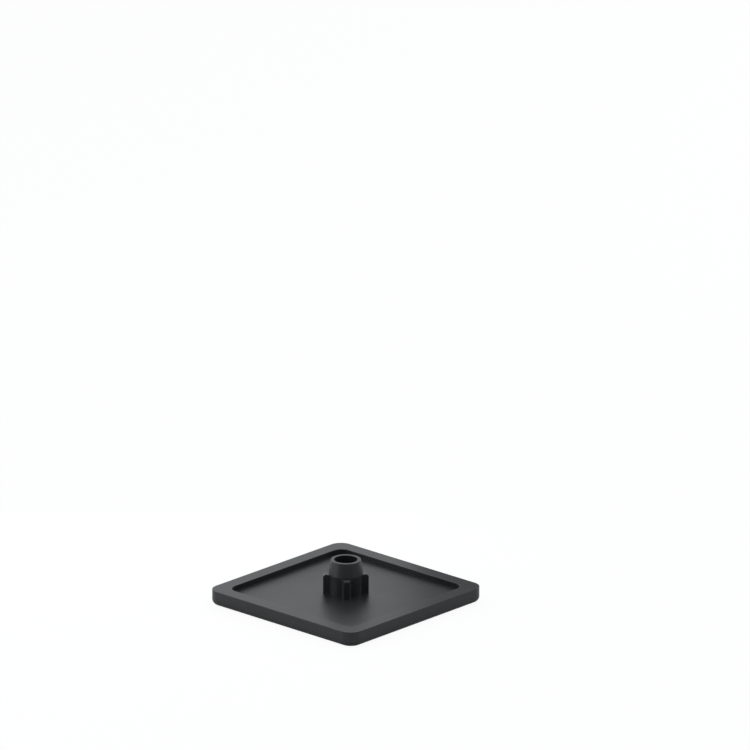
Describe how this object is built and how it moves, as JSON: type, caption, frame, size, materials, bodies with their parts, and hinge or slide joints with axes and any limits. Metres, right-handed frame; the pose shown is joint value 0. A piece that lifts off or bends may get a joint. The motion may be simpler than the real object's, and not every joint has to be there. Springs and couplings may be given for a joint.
{
  "type": "profile end cap",
  "caption": "Square moulded cap that closes a slotted profile's cut end, with a raised rim round a shallow recess and a hollow ribbed peg that wedges in the core hole.",
  "frame": {"origin": "middle of the outer face, which the cap rests on as modelled", "axes": "+Z along the peg towards its nose, +X and +Y square to the plate's sides"},
  "size_m": [0.04, 0.04, 0.0092],
  "materials": {
    "black_plastic": "black moulded plastic with a fine satin texture"
  },
  "bodies": {
    "root": {"end_cap": "black_plastic"}
  },
  "joints": []
}
